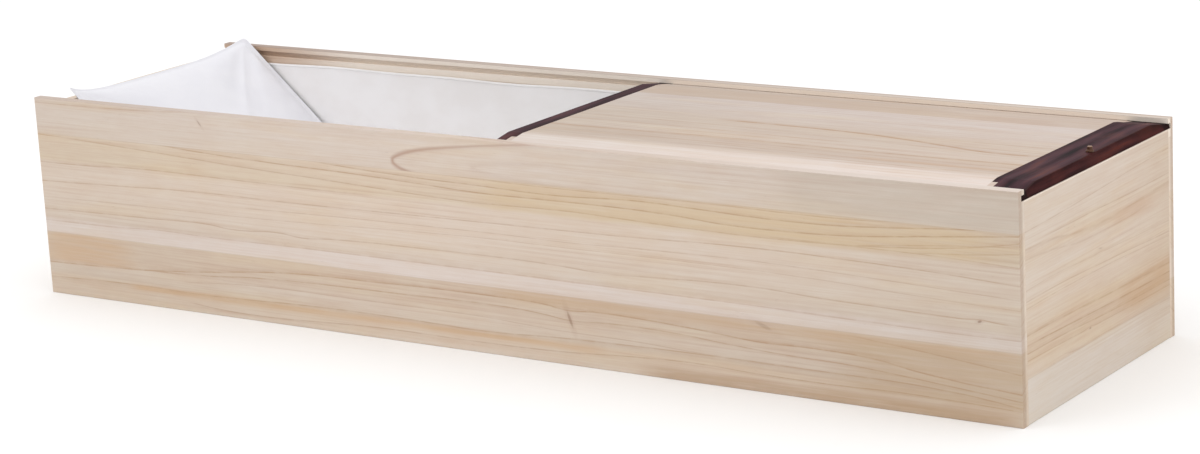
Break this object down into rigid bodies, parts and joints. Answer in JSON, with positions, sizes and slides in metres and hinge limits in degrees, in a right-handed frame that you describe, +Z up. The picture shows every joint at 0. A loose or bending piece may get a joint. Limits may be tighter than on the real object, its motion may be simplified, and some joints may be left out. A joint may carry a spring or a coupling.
{
  "type": "wooden casket",
  "caption": "Plain wooden casket with high grooved long sides, a sliding bevelled lid with dark end caps over the foot half, a fabric lining and a leaning pillow.",
  "frame": {"origin": "on the floor, at the middle of the casket's length and width", "axes": "+X from the head end to the foot end, +Z up, +Y towards the back long side"},
  "size_m": [1.95, 0.54, 0.376],
  "materials": {
    "pale_wood": "satin, fine sanded pale boards",
    "dark_wood": "satin, oiled dark hardwood",
    "lining_cloth": "matt plain weave",
    "pillow_cloth": "matt fine weave"
  },
  "bodies": {
    "casket": {"side_board_front": "pale_wood", "side_board_back": "pale_wood", "end_board_head": "pale_wood", "end_board_foot": "pale_wood", "bottom_board": "pale_wood", "lining": "lining_cloth", "pillow": "pillow_cloth"},
    "lid": {"lid_panel": "pale_wood", "lid_cap_head": "dark_wood", "lid_cap_foot": "dark_wood", "lid_peg": "dark_wood"}
  },
  "joints": [
    {"name": "lid_slide", "type": "slide", "parent": "casket", "child": "lid", "axis": [1, 0, 0], "range_m": [0, 0.9]}
  ]
}
